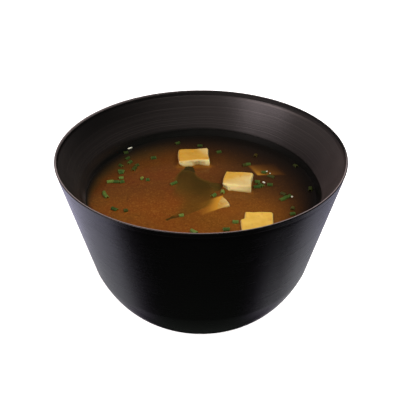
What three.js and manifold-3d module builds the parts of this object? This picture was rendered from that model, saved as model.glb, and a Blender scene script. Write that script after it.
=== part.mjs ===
// Miso soup in its bowl. A black bowl with a straight flaring wall holds cloudy brown soup, in which
// four cubes of tofu, one sheet of wakame and chopped chives float.
// Millimetres, +Z up. The origin is the centre of the bowl's flat base, on the surface it stands on.

import * as THREE from "three";
import { mergeVertices } from "three/addons/utils/BufferGeometryUtils.js";
import Module from "manifold-3d";

const wasm = await Module();
wasm.setup();

// Bowl: radii from its axis and heights above its base.
const HEIGHT = 76;
const RIM_RADIUS = 60;
const LIP_HEIGHT = 2.2; // the upright band round the mouth
const LIP_WALL = 1.4;
const LIP_ROUND = 0.45;
const CREASE_RADIUS = 49.3; // the straight wall turns into the rounded underside here
const CREASE_HEIGHT = 25;
const BASE_RADIUS = 23.5; // the flat spot that the bowl stands on
const UNDERSIDE_PULL = { out: 13.2, down: 13.5, in: 4.3 }; // handles of the underside's curve
const FLOOR_RADIUS = 16;
const FLOOR_HEIGHT = 8;
const HOLLOW_PULL = { down: 12, in: 6.1, out: 26 }; // handles of the hollow's curve
const AROUND = 72; // facets round the axis
const CURVE_STEPS = 10;

// Soup: its level, and the radius at which it meets the wall.
const LEVEL = 55.4;
const SOUP_RADIUS = 49.5;
const GAP = 0.3; // clearance between pieces that touch

// Tofu: soft cut cubes. top is how far the middle of the upper face stands above the soup,
// turn is about +Z, tilt lifts the +X end and roll lifts the +Y side, all in degrees.
const TOFU_EDGE = 0.9; // radius of the cut edges
const TOFU_WAVER = { depth: 0.18, pitch: 0.42 }; // how far a cut face wanders, and radians per mm
const TOFU_STEPS = 6; // facets along each side, one of them on each rounded edge
const TOFU = {
  tofu_back: { size: [14.2, 11.6, 11], at: [-3.3, 24.8], top: 3.4, turn: 2.4, tilt: 2.7, roll: -1.3 },
  tofu_right: { size: [12.4, 11.8, 11], at: [16.3, 3.2], top: 3.5, turn: -9, tilt: 1.5, roll: -2.5 },
  tofu_tilted: { size: [12.6, 9, 10], at: [6.6, -11.9], top: -0.7, turn: 19, tilt: 18, roll: -9 },
  tofu_front: { size: [13, 13.2, 11], at: [22.4, -25.9], top: 1.5, turn: -2, tilt: 0, roll: 0 },
};
const TORN = { depth: 1.5, from: 0.8, blend: 0.5 }; // tofu_front's left side steps in here
const CHIPS = { // places from a cube's middle where its skin is pushed in
  tofu_back: [
    { at: [2, -5.8, 1.6], radius: 3.4, push: [0, 1.5] },
    { at: [-7.1, -5.8, 1.8], radius: 2.4, push: [0.9, 0.8] },
  ],
  tofu_right: [{ at: [-6.2, -5.9, 2.2], radius: 2.8, push: [1.3, 1.1] }],
};

// Wakame: one limp sheet. It hangs from the surface at its tip, at one side and at its thin tail.
const WAKAME_THICKNESS = 0.6;
const WAKAME_PATH = [[-5.4, 18.2], [-7, 5], [-3, -14], [-13.7, -22.9]]; // from tip to tail
const WAKAME_EDGE_WIDTH = 0.6; // half widths
const WAKAME_TIP_WIDTH = 1; // added at the blunt tip
const WAKAME_HALF_WIDTH = 7.4;
const WAKAME_LOBE = { reach: 6.2, at: 0.37, spread: 0.12 }; // the side that floats reaches further
const WAKAME_SWELL = { reach: 2.3, from: 0.25, to: 0.97 }; // and swells on its way to the tail
const WAKAME_STEPS = [28, 10]; // along and across
const WAKAME_SAG = 4.6; // how deep its low side hangs
const WAKAME_RIPPLE = { depth: 0.25, along: 2, across: 0.4 }; // waves from tip to tail and side to side
const WAKAME_FRILL = { depth: 0.08, along: 3 }; // share of the width, and waves from tip to tail
const WAKAME_FLOAT = 0.2; // height of the floating tip and side over the soup

// Chives: short cuts of a thin round leaf, half sunk where they lie: x, y, turn, length, and how far
// the cut is tipped up on its end. Angles are in degrees.
const CHIVE_RADIUS = 0.95;
const CHIVE_SIDES = 8;
const CHIVE_LIFT = 0.25; // height of a lying chive's middle over the soup
const CHIVES = [
  // drift along the left side
  [-36.2, 31.8, 26, 2.3], [-34.9, 26.1, 51, 2.2], [-33.4, 22.3, 63, 2.3], [-29.8, 19.7, 43, 1.8],
  [-30.8, 16.5, 75, 3], [-37.1, 19.3, -45, 2.3], [-36.4, 14.5, -8, 2.8], [-36.3, 12.9, 20, 2.2],
  [-35.8, 8.5, 10, 1.9], [-35.1, 5.2, 20, 2], [-37.5, 5.2, 0, 2.5], [-40.3, 5.3, 12, 2.9],
  [-41, -5.4, -63, 5], [-35.7, -16.1, -32, 2.7],
  // left and middle of the bowl
  [-31, -17.2, 20, 1.6], [-22.5, 26.5, 10, 2.6], [-26.5, 7.9, 0, 1.4, 80], [-23.8, 6.8, 10, 1.6],
  [-12.1, 3.9, 40, 3.3], [-8, -20.6, 15, 2], [-2.8, -31.6, -42, 2.9], [9.9, -30.1, 4, 2.6],
  [13.8, -25.1, -5, 2.5], [9.3, -3.1, 80, 2], [5.5, -5.8, 50, 2.4],
  // far side
  [-11.6, 41.4, 35, 2.3], [-0.5, 38.7, 0, 2.5], [8.6, 32.4, 20, 2.4], [22, 20.6, 10, 2],
  [20.1, 19.8, 20, 1.6], [26, 28.8, 70, 2], [43.9, 19.3, -60, 2.2],
  // clumps on the right
  [28.7, 13.4, 0, 2.5], [31.5, 9.7, -32, 3.3], [25, 5.2, -10, 2.1], [24.5, 1, 5, 2.9],
  [26.4, 2.4, -45, 2.8], [30.3, 2.7, -5, 2.3], [35.4, -4.7, -38, 2.4], [34.4, -8.8, 35, 2.4],
  [35.9, -7.7, 42, 2.4], [37.5, -6.4, 42, 2.2], [47.6, -0.8, 80, 2.4], [37.9, -15.6, 70, 1.8],
  [37.3, -19.5, 15, 2.2],
];

const TURN = 2 * Math.PI;

function look(color, roughness, metalness = 0) {
  return new THREE.MeshStandardMaterial({ color, roughness, metalness });
}

// A closed geometry as a solid that can be joined and cut: shared vertices merged, slivers dropped.
function solidOf(geometry) {
  geometry.deleteAttribute("normal");
  geometry.deleteAttribute("uv");
  const merged = mergeVertices(geometry);
  const corners = merged.index.array;
  const faces = [];
  for (let i = 0; i < corners.length; i += 3) {
    const [a, b, c] = corners.slice(i, i + 3);
    if (a !== b && b !== c && c !== a) {
      faces.push(a, b, c);
    }
  }
  const vertProperties = new Float32Array(merged.attributes.position.array);
  return new wasm.Manifold(new wasm.Mesh({ numProp: 3, vertProperties, triVerts: new Uint32Array(faces) }));
}

// The largest body of a solid as a geometry. Loose scraps that a cut leaves are dropped.
function geometryOf(solid) {
  const bodies = solid.decompose();
  const body = bodies.reduce((best, next) => (next.volume() > best.volume() ? next : best));
  const { vertProperties, triVerts } = body.getMesh();
  const geometry = new THREE.BufferGeometry();
  geometry.setAttribute("position", new THREE.BufferAttribute(vertProperties, 3));
  geometry.setIndex(new THREE.BufferAttribute(triVerts, 1));
  geometry.computeVertexNormals();
  return geometry;
}

function named(name, geometry, material) {
  const mesh = new THREE.Mesh(geometry, material);
  mesh.name = name;
  return mesh;
}

// A profile of (radius, height) points turned about the Z axis.
function turned(profile) {
  const points = profile.map(([radius, height]) => new THREE.Vector2(radius, height));
  return new THREE.LatheGeometry(points, AROUND).rotateX(Math.PI / 2);
}

function steps(count) {
  return [...Array(count).keys()];
}

function curve(corners) {
  const [a, b, c, d] = corners.map(([x, y]) => new THREE.Vector2(x, y));
  return new THREE.CubicBezierCurve(a, b, c, d);
}

function curvePoints(corners) {
  return curve(corners).getPoints(CURVE_STEPS).map((point) => [point.x, point.y]);
}

// The hollow from the middle of its floor up to the waterline.
function hollowProfile() {
  return [
    [0, FLOOR_HEIGHT],
    ...curvePoints([
      [FLOOR_RADIUS, FLOOR_HEIGHT],
      [FLOOR_RADIUS + HOLLOW_PULL.out, FLOOR_HEIGHT],
      [SOUP_RADIUS - HOLLOW_PULL.in, LEVEL - HOLLOW_PULL.down],
      [SOUP_RADIUS, LEVEL],
    ]),
  ];
}

// The outside, from the middle of the base up to the lip.
function outsideProfile() {
  return [
    [0, 0],
    ...curvePoints([
      [BASE_RADIUS, 0],
      [BASE_RADIUS + UNDERSIDE_PULL.out, 0],
      [CREASE_RADIUS - UNDERSIDE_PULL.in, CREASE_HEIGHT - UNDERSIDE_PULL.down],
      [CREASE_RADIUS, CREASE_HEIGHT],
    ]),
    [RIM_RADIUS, HEIGHT - LIP_HEIGHT],
    [RIM_RADIUS, HEIGHT - LIP_ROUND],
    [RIM_RADIUS - LIP_ROUND, HEIGHT],
  ];
}

function bowlGeometry() {
  const lipInside = RIM_RADIUS - LIP_WALL;
  return turned([
    ...outsideProfile(),
    [lipInside + LIP_ROUND, HEIGHT],
    [lipInside, HEIGHT - LIP_ROUND],
    [lipInside, HEIGHT - LIP_HEIGHT],
    ...hollowProfile().reverse(),
  ]);
}

// The soup fills the hollow up to its level, GAP inside the wall along the wall's own normal.
function soupBody() {
  const wall = hollowProfile();
  const shrunk = wall.map(([radius, height], i) => {
    if (i === 0) {
      return [0, height + GAP];
    }
    const [r0, z0] = wall[Math.max(i - 1, 1)];
    const [r1, z1] = wall[Math.min(i + 1, wall.length - 1)];
    const length = Math.hypot(r1 - r0, z1 - z0);
    return [radius - (GAP * (z1 - z0)) / length, height + (GAP * (r1 - r0)) / length];
  });
  const brim = shrunk[shrunk.length - 1];
  shrunk[shrunk.length - 1] = [brim[0], LEVEL];
  return solidOf(turned([...shrunk, [0, LEVEL]]));
}

// Grid lines across a block's side: one on each edge's rounding and the rest spread evenly.
function blockLine(value, half, edge) {
  const step = Math.round(((value / half + 1) / 2) * TOFU_STEPS);
  if (step === 0 || step === TOFU_STEPS) {
    return Math.sign(value) * half;
  }
  return (half - edge) * ((step - 1) / (TOFU_STEPS / 2 - 1) - 1);
}

// A block with round edges and wavering faces, sunk in the soup as `piece` says. swell grows it on
// every side, for the pocket that it lies in.
function tofuGeometry(name, swell = 0) {
  const piece = TOFU[name];
  const half = piece.size.map((side) => side / 2 + swell);
  const edge = TOFU_EDGE + swell;
  const sides = half.map((value) => 2 * value);
  const block = new THREE.BoxGeometry(...sides, TOFU_STEPS, TOFU_STEPS, TOFU_STEPS);
  const { position } = block.attributes;
  const point = new THREE.Vector3();
  const core = new THREE.Vector3();
  const corner = new THREE.Vector3(...half).subScalar(edge);
  const phase = piece.at[0];
  const unswollen = new THREE.Vector3(...piece.size).divideScalar(2).divide(new THREE.Vector3(...half));
  for (let i = 0; i < position.count; i += 1) {
    point.fromBufferAttribute(position, i);
    point.set(...point.toArray().map((value, axis) => blockLine(value, half[axis], edge)));
    core.copy(point).clamp(corner.clone().negate(), corner);
    point.sub(core).setLength(edge).add(core);
    const { x, y, z } = point;
    point.x += tofuWave(y, z, phase);
    point.y += tofuWave(z, x, 2 * phase);
    point.z += tofuWave(x, y, 3 * phase);
    if (name === "tofu_front") {
      point.x += tornStep(x, y, half);
    }
    const spot = new THREE.Vector3(x, y, z).multiply(unswollen);
    for (const { at, radius, push } of CHIPS[name] ?? []) {
      const share = Math.max(0, 1 - spot.distanceToSquared(new THREE.Vector3(...at)) / radius ** 2) ** 2;
      point.x += push[0] * share;
      point.y += push[1] * share;
    }
    position.setXYZ(i, point.x, point.y, point.z);
  }
  const rad = THREE.MathUtils.degToRad;
  return block
    .rotateX(rad(piece.roll))
    .rotateY(rad(-piece.tilt))
    .rotateZ(rad(piece.turn))
    .translate(piece.at[0], piece.at[1], LEVEL + piece.top - piece.size[2] / 2);
}

function tofuWave(a, b, phase) {
  return TOFU_WAVER.depth * Math.sin(TOFU_WAVER.pitch * (a + 0.7 * b) + phase);
}

// How far a torn side steps in: nothing at the near end, TORN.depth at the far end.
function tornStep(x, y, half) {
  const side = THREE.MathUtils.smoothstep(-x, 0, half[0]);
  const along = THREE.MathUtils.smoothstep(y, TORN.from - TORN.blend, TORN.from + TORN.blend);
  return TORN.depth * side * along;
}

// The middle surface of the wakame. t runs from tip to tail and u from side to side, -1 to 1.
function wakamePoint(path, t, u, margin) {
  const middle = path.getPoint(t);
  const along = path.getTangent(t);
  const lobe = Math.exp(-(((t - WAKAME_LOBE.at) / WAKAME_LOBE.spread) ** 2));
  const body = WAKAME_HALF_WIDTH * Math.sin(Math.PI * Math.min(1, t / 0.95)) ** 1.1;
  const frill = 1 + WAKAME_FRILL.depth * Math.sin(WAKAME_FRILL.along * TURN * t + 2 * u);
  const lap = THREE.MathUtils.clamp((t - WAKAME_SWELL.from) / (WAKAME_SWELL.to - WAKAME_SWELL.from), 0, 1);
  const wider = WAKAME_LOBE.reach * lobe + WAKAME_SWELL.reach * Math.sin(Math.PI * lap);
  const tip = Math.exp(-((t / 0.12) ** 2));
  const edge = WAKAME_EDGE_WIDTH + WAKAME_TIP_WIDTH * tip;
  const half = (edge + body) * frill + wider * Math.max(0, u) + margin;
  const x = middle.x - u * half * along.y;
  const y = middle.y + u * half * along.x;
  const held = Math.max(tip, lobe * THREE.MathUtils.smoothstep(u, 0.35, 0.95));
  const wave = TURN * (WAKAME_RIPPLE.along * t + WAKAME_RIPPLE.across * u);
  const ripple = WAKAME_RIPPLE.depth * Math.sin(wave);
  const depth = WAKAME_SAG * Math.sin(Math.PI * (0.1 + 0.85 * t)) * (0.65 - 0.43 * u);
  return new THREE.Vector3(x, y, LEVEL + WAKAME_FLOAT * held - (1 - held) * (depth + ripple));
}

// A thin closed leaf: the middle surface pushed up and down by half its thickness, joined at the rim.
function wakameGeometry(thickness, margin) {
  const path = curve(WAKAME_PATH);
  const [long, wide] = WAKAME_STEPS;
  const row = wide + 1;
  const layer = (long + 1) * row;
  const positions = [];
  for (const side of [1, -1]) {
    for (const i of steps(long + 1)) {
      const t = i / long;
      const along = path.getTangent(t).multiplyScalar(margin * (2 * t - 1));
      for (const j of steps(wide + 1)) {
        const { x, y, z } = wakamePoint(path, t, (2 * j) / wide - 1, margin);
        positions.push(x + along.x, y + along.y, z + (side * thickness) / 2);
      }
    }
  }
  const faces = [];
  for (const i of steps(long)) {
    for (const j of steps(wide)) {
      const a = i * row + j;
      const [b, c, d] = [a + 1, a + row, a + row + 1];
      faces.push(a, c, b, b, c, d);
      faces.push(layer + a, layer + b, layer + c, layer + b, layer + d, layer + c);
    }
  }
  const rim = [
    ...steps(wide),
    ...steps(long).map((i) => i * row + wide),
    ...steps(wide).map((j) => long * row + wide - j),
    ...steps(long).map((i) => (long - i) * row),
  ];
  rim.forEach((here, i) => {
    const next = rim[(i + 1) % rim.length];
    faces.push(here, next, layer + here, next, layer + next, layer + here);
  });
  const geometry = new THREE.BufferGeometry();
  geometry.setAttribute("position", new THREE.Float32BufferAttribute(positions, 3));
  geometry.setIndex(faces);
  geometry.computeVertexNormals();
  return geometry;
}

// A chive cut on the soup. The middle of its round section is CHIVE_LIFT over the surface.
function chiveSolid([x, y, turn, length, tipped = 0]) {
  const rad = THREE.MathUtils.degToRad;
  const cut = new THREE.CylinderGeometry(CHIVE_RADIUS, CHIVE_RADIUS, length, CHIVE_SIDES);
  cut.rotateZ(rad(90));
  cut.rotateY(rad(-tipped));
  cut.rotateZ(rad(turn));
  cut.translate(x, y, LEVEL + CHIVE_LIFT);
  return solidOf(cut);
}

// The soup with its chives on it, cut round the tofu and the wakame.
function soupGeometry() {
  let soup = soupBody();
  for (const chive of CHIVES) {
    soup = soup.add(chiveSolid(chive));
  }
  for (const name of Object.keys(TOFU)) {
    soup = soup.subtract(solidOf(tofuGeometry(name, GAP)));
  }
  soup = soup.subtract(solidOf(wakameGeometry(WAKAME_THICKNESS + 2 * GAP, GAP)));
  return geometryOf(soup);
}

const misoSoup = new THREE.Group();
misoSoup.add(named("bowl", bowlGeometry(), look(0x0d0d0e, 0.35)));
misoSoup.add(named("soup", soupGeometry(), look(0x6b3f1a, 0.15)));
for (const name of Object.keys(TOFU)) {
  misoSoup.add(named(name, tofuGeometry(name), look(0xe0bc7a, 0.5)));
}
misoSoup.add(named("wakame", wakameGeometry(WAKAME_THICKNESS, 0), look(0x2f3a17, 0.35)));

export default misoSoup;
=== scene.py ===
"""Miso soup in its bowl: brown cloudy broth with tofu, wakame and chives in black lacquered wood.

All shapes are worked out in millimetres, from the same named sizes as the solids, and become
metres when a mesh is made. Z points up and the origin is the middle of the bowl's flat base.
"""

import math

import bpy
import numpy as np
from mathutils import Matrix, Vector


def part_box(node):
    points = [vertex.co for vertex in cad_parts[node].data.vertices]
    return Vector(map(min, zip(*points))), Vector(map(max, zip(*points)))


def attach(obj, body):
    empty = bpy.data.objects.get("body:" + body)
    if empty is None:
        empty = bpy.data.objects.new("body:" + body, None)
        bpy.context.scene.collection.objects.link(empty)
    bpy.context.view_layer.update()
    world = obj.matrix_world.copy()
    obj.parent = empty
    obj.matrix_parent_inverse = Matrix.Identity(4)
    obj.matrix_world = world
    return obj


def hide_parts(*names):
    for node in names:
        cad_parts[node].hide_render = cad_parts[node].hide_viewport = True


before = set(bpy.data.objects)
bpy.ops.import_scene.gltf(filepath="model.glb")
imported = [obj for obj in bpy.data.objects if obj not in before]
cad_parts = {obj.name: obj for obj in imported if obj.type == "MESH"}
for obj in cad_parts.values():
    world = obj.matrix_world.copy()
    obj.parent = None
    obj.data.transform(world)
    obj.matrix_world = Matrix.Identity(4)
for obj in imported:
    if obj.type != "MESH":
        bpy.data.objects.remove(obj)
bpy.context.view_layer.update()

MM = 0.001
PER_MM = 1000.0  # texture scales: cells per metre for cells of one millimetre
TURN = 2 * math.pi

# Bowl: radii from its axis and heights above its base. Bearings are in degrees, clockwise from the
# far side, and "at" with "spread" is the middle and the width of a bell-shaped stretch.
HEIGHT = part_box("bowl")[1].z / MM
RIM_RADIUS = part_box("bowl")[1].x / MM
LIP_HEIGHT = 2.2
LIP_WALL = 1.4
LIP_ROUND = 0.25
LIP_LEAN = 0.4  # the lip's outer side leans out by this much and goes on in line with the wall
LIP_CHAMFER = 0.6  # its inner side leans out by this much
LIP_GROOVE = 0.05
CREASE_RADIUS = 49.3
CREASE_HEIGHT = 25
BASE_RADIUS = 23.5
UNDERSIDE_PULL = {"out": 13.2, "down": 13.5, "in": 4.3}
FLOOR_RADIUS = 16
FLOOR_HEIGHT = 8
HOLLOW_PULL = {"down": 12, "in": 6.1, "out": 26}
WALL_FLARE = 0.42  # how far the inner wall bows in, half way between the broth and the lip
HOLLOW_SHEEN = ((113, 28, 0.9), (-108, 26, 0.24))  # painted sheen on the hollow: bearing, spread, share
SHEEN_SPOTS = (  # and painted highlights in two spots: bearing and spread, height and spread, share
    ((-104, 6), (56.2, 1.7), 1.5),  # just over the broth
    ((38, 16), (73.2, 0.35), 1.0),  # just under the lip
)
# The whole lip is black round one bearing, and left and right of it only the top this far down.
LIP_BLACK = {"at": 12, "spread": 38, "left": 1.35, "right": 0.8}
LIP_BLACK_EDGE = 0.3  # over which the black begins
DARK_TOP_SHADE = {"at": (-62, 40), "height": (63, 72)}  # painted shade: the wall is painted blackest up here: bearing and spread, from, to
LIP_EDGE_HIGHLIGHT = {"at": (-62, 42), "share": 0.5}  # painted highlight: the lip's edge is painted pale on the far left
WALL_STEPS = 56
HOLLOW_STEPS = 40
BOWL_AROUND = 288

# Broth
LEVEL = 55.4
BROTH_RADIUS = 49.5
INTO_WALL = 0.4  # the broth reaches this far into the wall, so that no gap shows
BROTH_AROUND = 520
BROTH_RINGS = 158
WALL_RISE = {"height": 0.22, "length": 0.8}  # the broth that climbs the wall
TOFU_RISE = {"height": 0.25, "length": 0.8}
CHIVE_RISE = {"height": 0.12, "length": 0.45}
FILM_THICKNESS = 0.1  # of the broth left on the wall above the waterline, and painted darker as the shade there
FILM_FADE = {"left": 3.0, "right": 1.0}  # stretches over which it thins out at its upper edge
FILM_RUN = {"at": 113, "spread": 20, "higher": 3.0}  # it was left higher up round here
FILM_THIN = {"at": -92, "spread": 34, "by": 0.85}  # and it is thinner round here
FILM_BROTH_REFLECTION = {"at": (-74, 20), "over": (1.2, 3.4)}  # painted reflection of the broth in the wall: browner round here, this far over the waterline
FILM_UNDER = 0.5  # it starts this far under the waterline
FILM_BEHIND = 0.3  # and its back lies this far inside the wall
WET_LINE = {"over": 4.6, "lean": 1.8, "lean_from": 0.1}  # its upper edge: height over the waterline
WET_WAVES = ((0.5, 2, 0.6), (0.2, 5, 0))  # and waves in it: height, number round the bowl, phase
FILM_STEPS = 24
MURK = 1.6  # depth at which the cloudy broth has hidden two thirds of a pale thing
SLANT = 0.8  # how far a look from the near side slants on for each mm that it goes down
SHADE_FROM = 31  # degrees clockwise from the far side: the wall's painted shade on the broth is longest there
SHADE_REACH = {"least": 1.2, "mean": 9.6, "swing": 27}  # how far in from the wall the painted shade goes
SHADE_LEFT = {"at": -80, "spread": 20, "more": 5.0}  # and a little more round here
SHADE_FALL = 1.65  # how sharply it ends
LIT_PATCHES = (((6, 22), 13, 0.65), ((-14, 32), 9, 0.35))  # painted pools of light, where the broth is painted brighter: place, spread, share
SHORE = {"from": 0.1, "to": 0.6}  # shares of the radius to the left where the shallow edge turns olive
FAR_DIM = {"share": 0.38, "from": -18.5, "to": 3.6}  # painted shade: the broth beyond the middle is painted dimmer
FAR_LEFT = {"more": 0.2, "from": 10, "to": 30}  # painted light and shade: the far left is painted brighter, the far right dimmer
SKIRT = {"least": 0.3, "reach": 1.2, "tofu_back": 0.3, "tofu_right": 0.2}  # a cube's sunk near side

# Tofu, as in the solids, and one cube that lies wholly in the broth. warm is how orange its film is,
# and pale how much whiter its near side is painted at the left and at the right: its cut colour and
# painted light from the front.
TOFU_EDGE = 0.9
TOFU_WAVER = {"depth": 0.18, "pitch": 0.42}
TOFU_STEPS = 46
TOFU_ROUND_STEPS = 4
TOFU_RELIEF = (2.6, 0.07), (0.9, 0.035)  # coarse and fine: pitch, depth
TOFU_PITS = {"pitch": 1.3, "depth": 0.14, "from": 0.45, "to": 0.8}
TOFU_SOAKED = {"over": (0.2, 1.5), "film": 0.75, "warm": 0.8, "front": 0.8}  # heights over the broth
TOFU = {
    "tofu_back": dict(size=(14.2, 11.6, 11), at=(-3.3, 24.8), top=3.4, turn=2.4, tilt=2.7, roll=-1.3,
                      warm=0.9, pale=(0.45, 0.9)),
    "tofu_right": dict(size=(12.4, 11.8, 11), at=(16.3, 3.2), top=3.5, turn=-9, tilt=1.5, roll=-2.5,
                       warm=0.62, pale=(1.0, 0.2)),
    "tofu_tilted": dict(size=(12.6, 9, 10), at=(6.6, -11.9), top=-0.7, turn=19, tilt=18, roll=-9,
                        warm=0.95, pale=(0.2, 0.1)),
    "tofu_front": dict(size=(13, 13.2, 11), at=(22.4, -25.9), top=1.5, turn=-2, tilt=0, roll=0,
                       warm=0.0, pale=(0.4, 0.2)),
}
TOFU_SUNK = dict(size=(12.4, 11, 9), at=(28.9, 17.4), top=-2.8, turn=16, tilt=-14.5, roll=-11,
                 warm=0.9, pale=(0.2, 0.1))
TORN = {"depth": 1.5, "from": 0.8, "blend": 0.5}
CHIPS = {  # places from a cube's middle where its skin is pushed in: place, radius, push
    "tofu_back": (((2, -5.8, 1.6), 3.4, (0, 1.5, 0)), ((-7.1, -5.8, 1.8), 2.4, (0.9, 0.8, 0))),
    "tofu_right": (((-6.2, -5.9, 2.2), 2.8, (1.3, 1.1, 0)),),
}

# Wakame, as in the solids.
WAKAME_THICKNESS = 0.6
WAKAME_PATH = ((-5.4, 18.2), (-7, 5), (-3, -14), (-13.7, -22.9))
WAKAME_EDGE_WIDTH = 0.6
WAKAME_TIP_WIDTH = 1
WAKAME_HALF_WIDTH = 7.4
WAKAME_LOBE = {"reach": 6.2, "at": 0.37, "spread": 0.12}
WAKAME_SWELL = {"reach": 2.3, "from": 0.25, "to": 0.97}
WAKAME_STEPS = (170, 64)
WAKAME_SAG = 4.6
WAKAME_RIPPLE = {"depth": 0.25, "along": 2, "across": 0.4}
WAKAME_FRILL = {"depth": 0.08, "along": 3}
WAKAME_FLOAT = 0.2
WAKAME_CRIMP = {"depth": 0.13, "along": 11, "across": 3}
WAKAME_GRAIN = {"pitch": 1.2, "depth": 0.06, "seed": 71}

# How the wakame shows in the broth: its tint is wider than the sheet, shares of it are lost in the
# broth, its rim is clearer, and its edge is soft. Where is told as shares from tip to tail.
WAKAME_WIDER = {"tail": 0.12, "right": 0.16, "left": 0.45}
WAKAME_TAIL = (0.86, 0.94)
WAKAME_LOST = {"sheet": 0.16, "low": 0.26, "high": 0.10, "middle": 0.27, "middle_low": 0.33}
WAKAME_RIM = {"share": 0.16, "at": 0.9, "spread": 0.07}
WAKAME_SOFT = {"from": 0.68, "low": 0.25, "high": 0.12, "to": 1.06}
WAKAME_HAZE = {"at": (-6.5, -20), "spread": (9, 7), "share": 0.26}  # it tints the broth by its tail

# Chives: x, y, turn, length, how far the cut is tipped up on its end, and how much it is dimmed to dark
# brown.
# A cut's section, slant, bow and size are drawn between these bounds.
CHIVE_RADIUS = 0.95
CHIVE_BORE = 0.5
CHIVE_LIFT = 0.25
CHIVE_SIDES = 20
CHIVE_RINGS = 7
CHIVE_SEED = 9347
CHIVE_OVAL = (0.82, 1.0)
CHIVE_SLANT = (-0.25, 0.25)
CHIVE_BOW = (-0.12, 0.12)
CHIVE_SIZE = (0.86, 1.0)
CHIVE_BORE_SIZE = (0.8, 1.15)
CHIVE_WRINKLE = {"depth": 0.035, "count": 5}
CHIVE_ROUNDING = 0.06  # at the cut ends
CHIVES = (
    # drift along the left side
    (-36.2, 31.8, 26, 2.3), (-34.9, 26.1, 51, 2.2), (-33.4, 22.3, 63, 2.3),
    (-29.8, 19.7, 43, 1.8, 0, 0.4), (-30.8, 16.5, 75, 3, 0, 0.35), (-37.1, 19.3, -45, 2.3),
    (-36.4, 14.5, -8, 2.8), (-36.3, 12.9, 20, 2.2),
    (-35.8, 8.5, 10, 1.9), (-35.1, 5.2, 20, 2), (-37.5, 5.2, 0, 2.5), (-40.3, 5.3, 12, 2.9),
    (-41, -5.4, -63, 5), (-35.7, -16.1, -32, 2.7),
    # left and middle of the bowl
    (-31, -17.2, 20, 1.6, 0, 0.6), (-22.5, 26.5, 10, 2.6), (-26.5, 7.9, 0, 1.4, 80),
    (-23.8, 6.8, 10, 1.6),
    (-12.1, 3.9, 40, 3.3), (-8, -20.6, 15, 2), (-2.8, -31.6, -42, 2.9), (9.9, -30.1, 4, 2.6),
    (13.8, -25.1, -5, 2.5), (9.3, -3.1, 80, 2), (5.5, -5.8, 50, 2.4),
    # far side
    (-11.6, 41.4, 35, 2.3), (-0.5, 38.7, 0, 2.5), (8.6, 32.4, 20, 2.4), (22, 20.6, 10, 2),
    (20.1, 19.8, 20, 1.6, 0, 0.6), (26, 28.8, 70, 2, 0, 0.9), (43.9, 19.3, -60, 2.2, 0, 0.25),
    # clumps on the right
    (28.7, 13.4, 0, 2.5), (31.5, 9.7, -32, 3.3, 0, 0.45), (25, 5.2, -10, 2.1), (24.5, 1, 5, 2.9),
    (26.4, 2.4, -45, 2.8), (30.3, 2.7, -5, 2.3), (35.4, -4.7, -38, 2.4, 0, 0.7), (34.4, -8.8, 35, 2.4),
    (35.9, -7.7, 42, 2.4), (37.5, -6.4, 42, 2.2), (47.6, -0.8, 80, 2.4, 0, 0.2),
    (37.9, -15.6, 70, 1.8, 0, 0.75), (37.3, -19.5, 15, 2.2),
)

# Pale crumbs on the chives, which paint the glints of light on the wet chives: x, y, height over the
# soup, turn, half lengths.
GLINT_CRUMB_RELIEF = {"pitch": 0.9, "depth": 0.22, "seed": 91}
GLINT_CRUMBS = (
    (27.6, 3.2, 1.25, -40, (0.75, 0.42, 0.4)), (29.9, 12.7, 1.2, 10, (0.42, 0.38, 0.3)),
    (31.2, 11.2, 1.1, -30, (0.4, 0.3, 0.22)), (38.6, -7.8, 1.0, 0, (0.46, 0.42, 0.3)),
    (-34.6, 35.6, 0.7, 35, (1.3, 0.6, 0.35)),
)

# Camera: where the eye is from the middle of the mouth, and where it looks.
EYE_DISTANCE = 4 * RIM_RADIUS
EYE_ELEVATION = 28.48
LOOK_DOWN = 33.75
LENS = 51.63
PICTURE_SIDE = 400
CENTRE_SHIFT = 1.0  # pixels by which the bowl's axis stands right of the middle

# Lamps: bearing, height angle, distance, side, radiance, colour, and whether the gloss mirrors it.
LAMPS = {
    "key": (62, 50, 1.2, 0.6, 7.0, (1.0, 0.97, 0.93), False),
    "low_left": (-116, 44, 1.1, 0.75, 3.4, (1.0, 0.84, 0.88), True),
    "front": (158, 36, 1.2, 0.8, 5.0, (1.0, 0.97, 0.93), False),
}
FLOOR_REACH = 6.0  # metres from the bowl to the floor's edge


# ---- arithmetic

def smoothstep(value, low, high):
    """0 below low, 1 above high, and 3t^2 - 2t^3 between them."""
    t = np.clip((value - low) / (high - low), 0, 1)
    return t * t * (3 - 2 * t)


def bell(value, middle, spread):
    """1 at the middle, falling as exp(-((value - middle) / spread)^2)."""
    return np.exp(-(((value - middle) / spread) ** 2))


def bearing_of(x, y):
    """Degrees clockwise from the far side, from -180 to 180, of the direction (x, y)."""
    return np.degrees(np.arctan2(x, y))


def bezier(corners, t):
    """Points of the cubic curve with these four corners at the shares t, and its slope there."""
    a, b, c, d = (np.array(corner, float) for corner in corners)
    t = np.asarray(t, float)[..., None]
    point = (1 - t) ** 3 * a + 3 * (1 - t) ** 2 * t * b + 3 * (1 - t) * t * t * c + t ** 3 * d
    slope = 3 * (1 - t) ** 2 * (b - a) + 6 * (1 - t) * t * (c - b) + 3 * t * t * (d - c)
    return point, slope


def relief(points, pitch, seed):
    """Smooth random relief from -1 to 1. Values are drawn at the corners of a cubic lattice whose
    cells are pitch wide, and blended between the corners by smoothstep along each axis."""
    side = 61
    lattice = np.random.default_rng(seed).uniform(-1, 1, (side, side, side))
    cell = points / pitch + side / 2
    base = np.floor(cell).astype(int)
    blend = cell - base
    blend = blend * blend * (3 - 2 * blend)
    total = np.zeros(points.shape[:-1])
    for corner in np.ndindex(2, 2, 2):
        weight = np.prod(np.where(corner, blend, 1 - blend), axis=-1)
        i, j, k = np.moveaxis((base + corner) % side, -1, 0)
        total += weight * lattice[i, j, k]
    return total


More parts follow.
